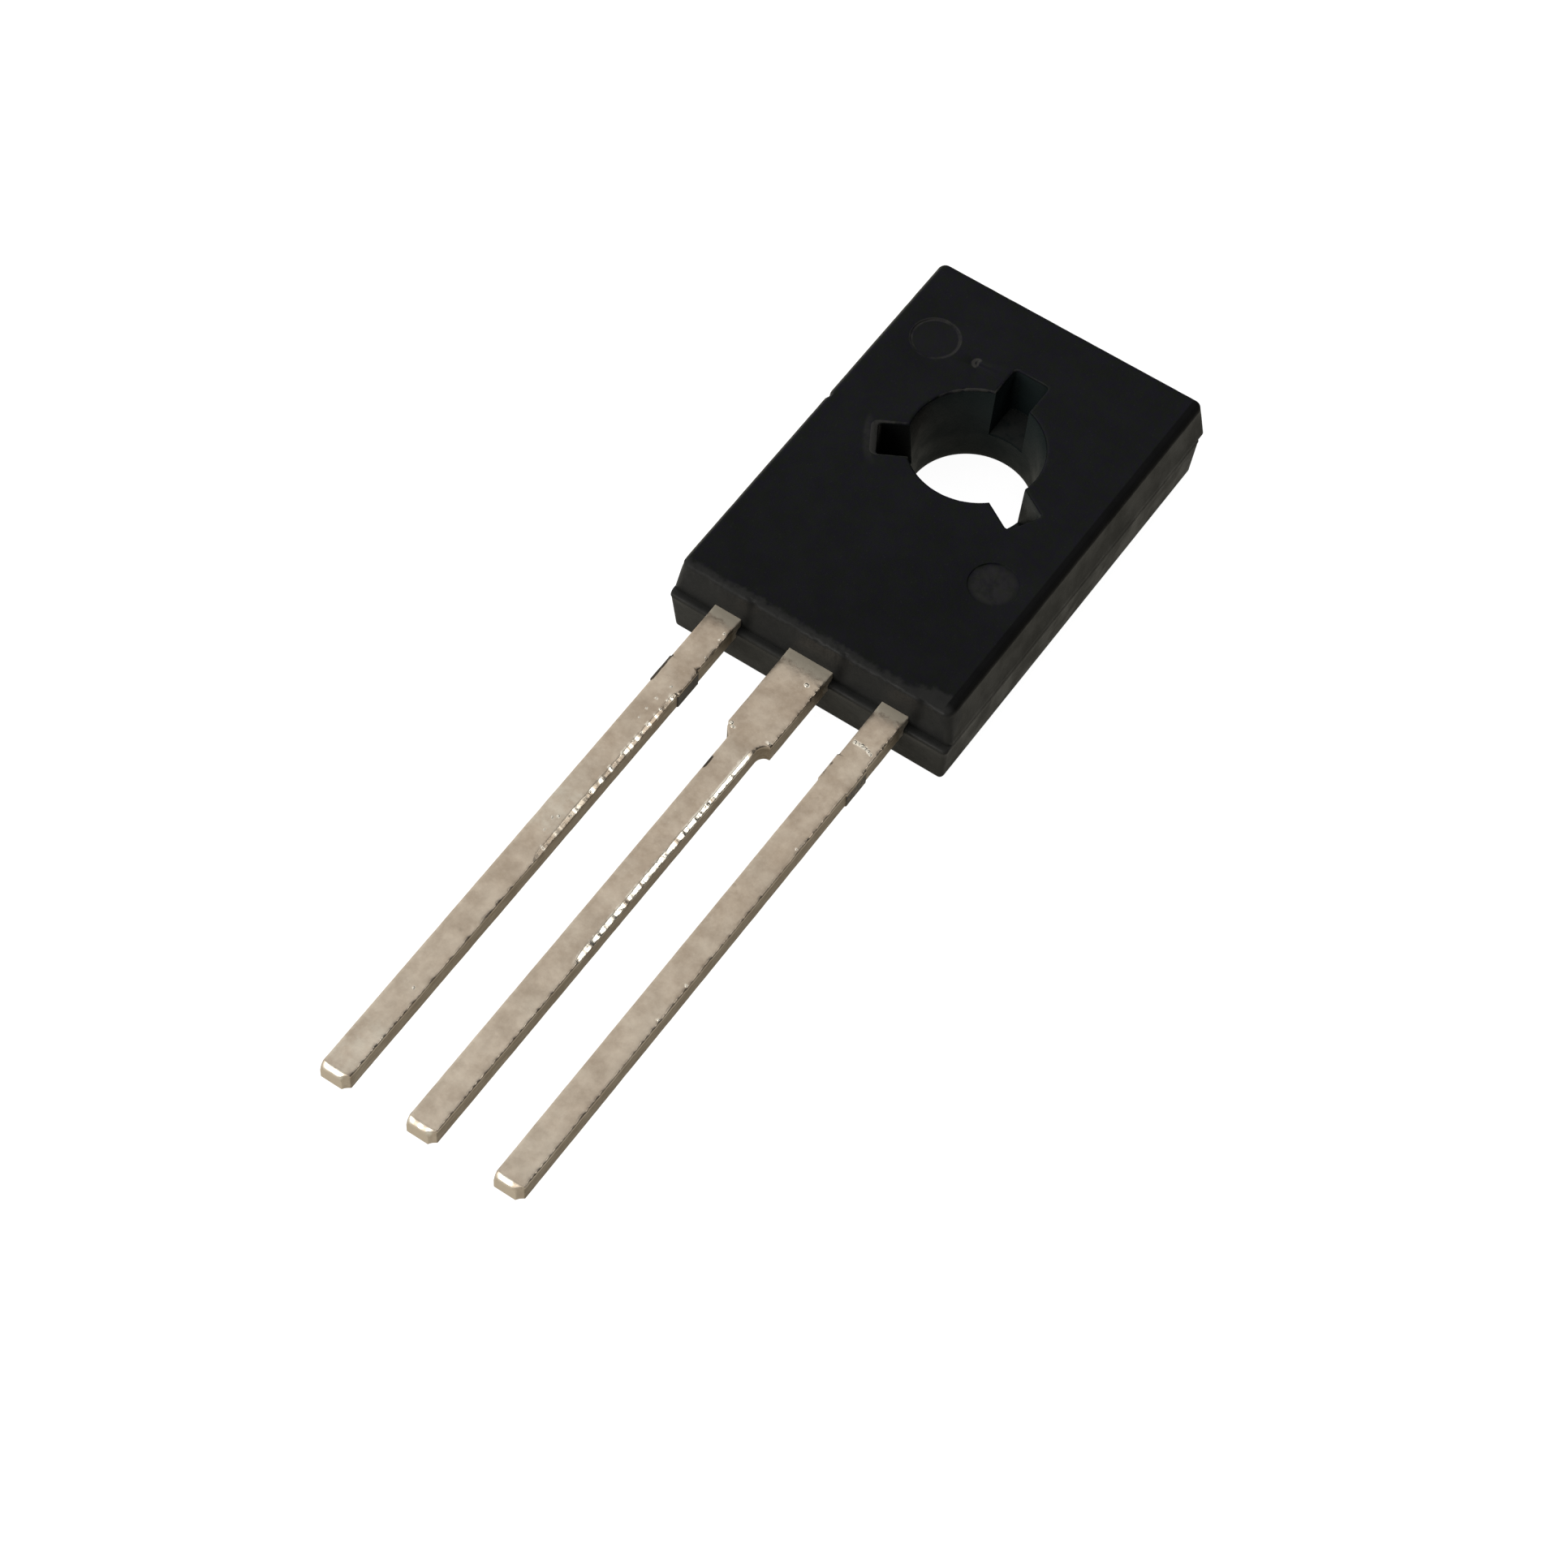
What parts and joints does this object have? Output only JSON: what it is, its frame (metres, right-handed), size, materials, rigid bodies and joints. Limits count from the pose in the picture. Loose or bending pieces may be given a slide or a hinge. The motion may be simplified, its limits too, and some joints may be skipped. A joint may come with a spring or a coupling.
{
  "type": "power transistor",
  "caption": "Flat moulded power transistor with a row of flat leads, a notched screw hole and a bare metal mounting face on its back.",
  "frame": {"origin": "axis of the screw hole, in the plane of the metal back", "axes": "+Z out of the front face, +Y from the leads towards the far end, +X to the right seen from the front with the leads down"},
  "size_m": [0.0076, 0.0259, 0.0024],
  "materials": {
    "moulded_epoxy": "fine matte",
    "tinned_copper": "dull tin plate",
    "solder": "dull",
    "silicon": "smooth",
    "bond_wire": "drawn"
  },
  "bodies": {
    "root": {"moulded_body": "moulded_epoxy", "collector_lead": "tinned_copper", "emitter_lead": "tinned_copper", "base_lead": "tinned_copper", "die_solder": "solder", "silicon_die": "silicon", "emitter_bond_wire": "bond_wire", "base_bond_wire": "bond_wire"}
  },
  "joints": []
}
